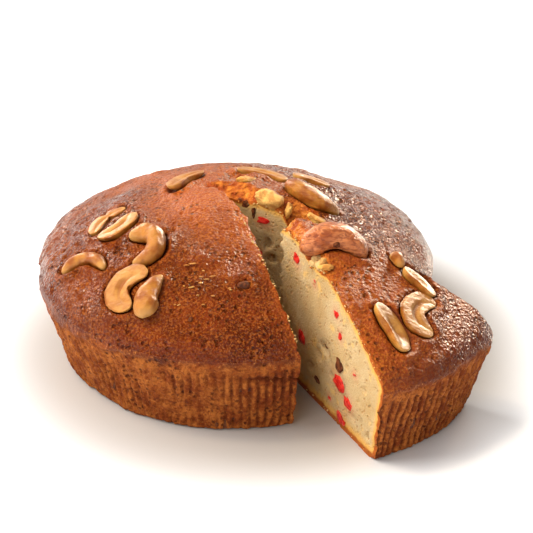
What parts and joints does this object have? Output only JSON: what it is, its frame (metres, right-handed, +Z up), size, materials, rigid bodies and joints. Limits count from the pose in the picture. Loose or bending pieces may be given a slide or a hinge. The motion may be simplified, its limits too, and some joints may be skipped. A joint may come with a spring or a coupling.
{
  "type": "fruit cake",
  "caption": "Round domed fruit cake with a pleated side, cashews on the crust, and one wedge drawn partly out to show the pale crumb.",
  "frame": {"origin": "middle of the bounding box of cake and drawn-out slice, at the height of the flat base", "axes": "+Z up; -Y towards the side from which the wedge is drawn out, to the right of the middle; +X to the right seen from there"},
  "size_m": [0.2022, 0.202, 0.0838],
  "materials": {
    "cake": "browned, slightly glossy crust",
    "cashew": "satin",
    "brown_cashew": "satin"
  },
  "bodies": {
    "root": {"cake_body": "cake", "cake_slice": "cake", "cashew_arc_left": "cashew", "cashew_back_left": "cashew", "cashew_back_middle": "cashew", "cashew_back_right": "cashew", "cashew_back_slice": "cashew", "cashew_boat_slice": "cashew", "cashew_curl_left": "cashew", "cashew_drop_left": "cashew", "cashew_flat_left": "cashew", "cashew_flat_slice": "cashew", "cashew_groove_slice": "cashew", "cashew_split_far_left": "cashew", "cashew_split_left": "cashew", "cashew_twisted_right": "cashew", "cashew_whole_slice": "brown_cashew"}
  },
  "joints": []
}
